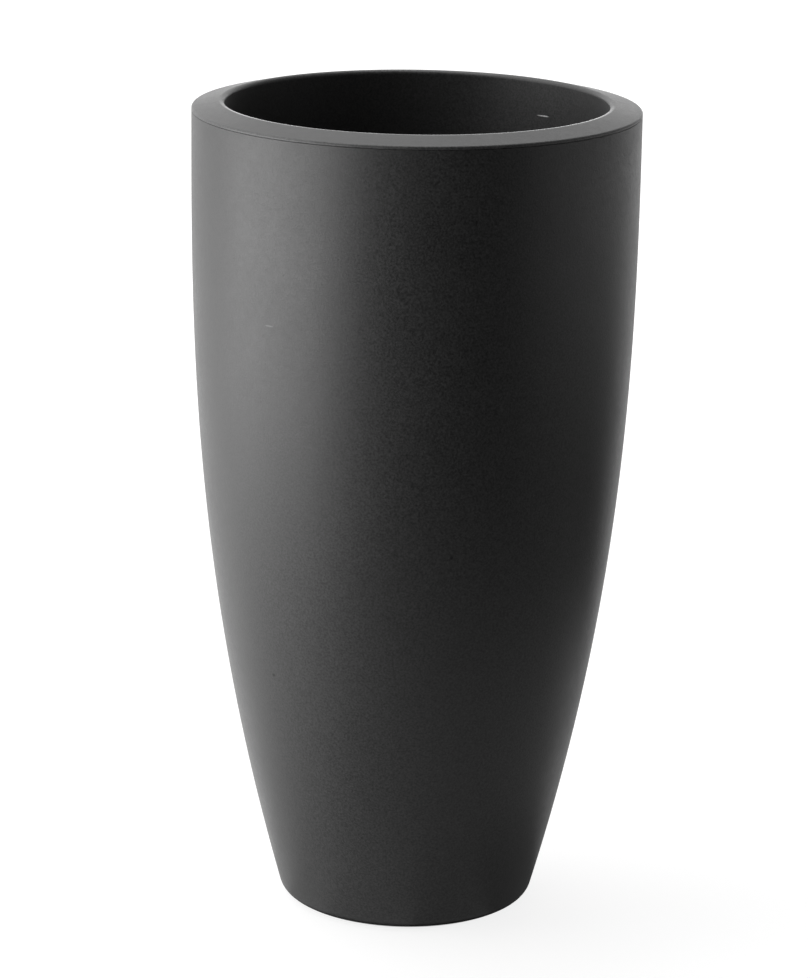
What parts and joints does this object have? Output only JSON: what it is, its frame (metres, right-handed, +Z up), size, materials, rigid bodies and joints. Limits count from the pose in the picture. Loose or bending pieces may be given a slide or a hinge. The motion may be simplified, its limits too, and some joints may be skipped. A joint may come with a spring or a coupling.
{
  "type": "tall planter",
  "caption": "Tall round floor planter with a bulging taper, a lift-out inner pot whose wide sloping rim closes the shell, a slotted drainage grate, drain plugs and floor pads.",
  "frame": {"origin": "on the ground under the pads, on the planter's axis", "axes": "+Z up along the planter's axis, towards the mouth"},
  "size_m": [0.396, 0.396, 0.735],
  "materials": {
    "anthracite": "matte moulded, fine even texture",
    "black_plastic": "matte moulded",
    "rubber": "soft matte"
  },
  "bodies": {
    "shell": {"outer_shell": "anthracite", "floor_pad_1": "rubber", "floor_pad_2": "rubber", "floor_pad_3": "rubber", "floor_pad_4": "rubber"},
    "pot": {"inner_pot": "anthracite"},
    "grate": {"drainage_grate": "black_plastic"},
    "pot_plug": {"pot_drain_plug": "black_plastic", "pot_plug_seal": "rubber"},
    "shell_plug": {"shell_drain_plug": "black_plastic", "shell_plug_seal": "rubber"}
  },
  "joints": [
    {"name": "pot_lift", "type": "slide", "parent": "shell", "child": "pot", "axis": [0, 0, 1], "range_m": [0, 0.33]},
    {"name": "grate_lift", "type": "slide", "parent": "pot", "child": "grate", "axis": [0, 0, 1], "range_m": [0, 0.27]},
    {"name": "pot_plug_pull", "type": "slide", "parent": "pot", "child": "pot_plug", "axis": [0, 0, 1], "range_m": [0, 0.02]},
    {"name": "shell_plug_pull", "type": "slide", "parent": "shell", "child": "shell_plug", "axis": [0, 0, 1], "range_m": [0, 0.03]}
  ]
}
